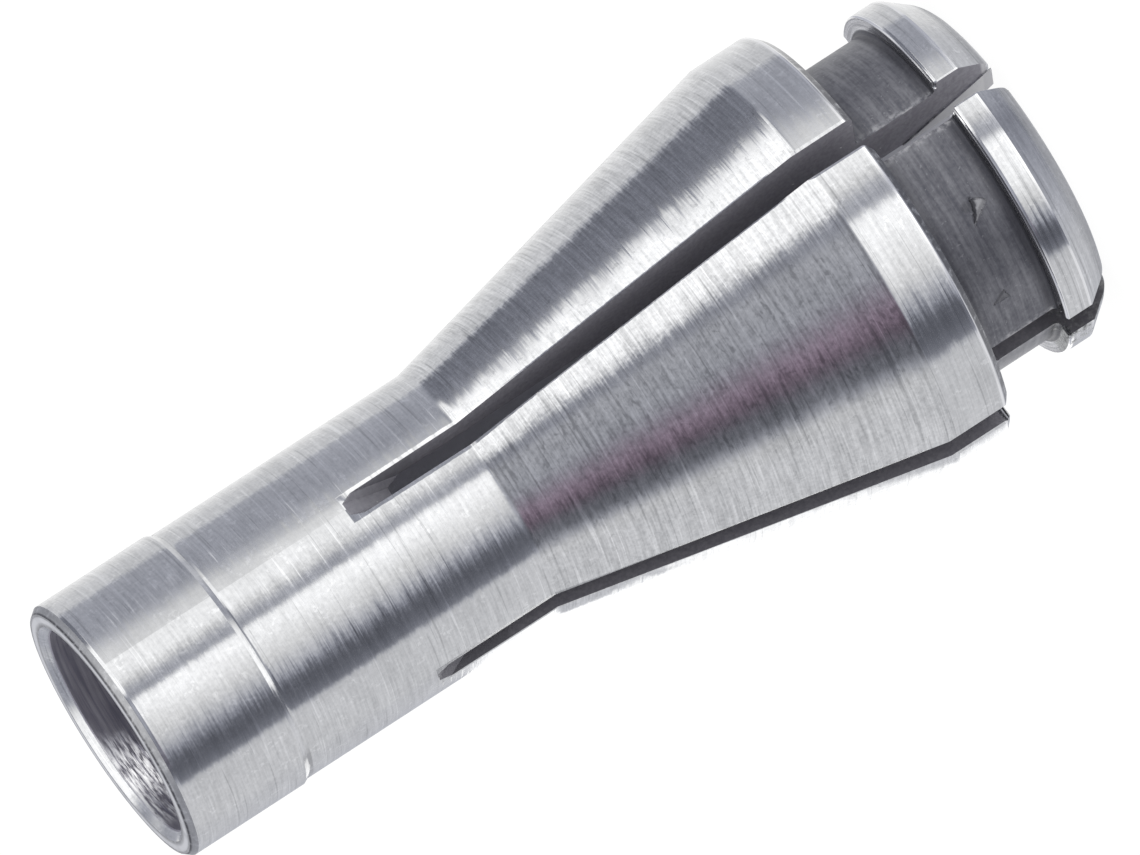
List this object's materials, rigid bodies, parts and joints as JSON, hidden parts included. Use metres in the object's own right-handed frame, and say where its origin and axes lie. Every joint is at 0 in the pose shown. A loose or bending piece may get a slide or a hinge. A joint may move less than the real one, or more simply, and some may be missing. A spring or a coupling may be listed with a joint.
{
  "type": "die grinder collet",
  "caption": "Slit one-piece steel collet with a thin-walled tail, a long closing cone, a wide land, a nut groove and a chamfered lip at the nose; grips a round tool shank.",
  "frame": {"origin": "centre of the nose face, which the collet stands on", "axes": "+Z along the bore axis from the nose to the tail, +X through the middle of one slot"},
  "size_m": [0.0164, 0.0164, 0.0372],
  "materials": {
    "ground_steel": "bright, finely ground round the axis, with a dark unground groove and slot walls"
  },
  "bodies": {
    "root": {"collet": "ground_steel"}
  },
  "joints": []
}
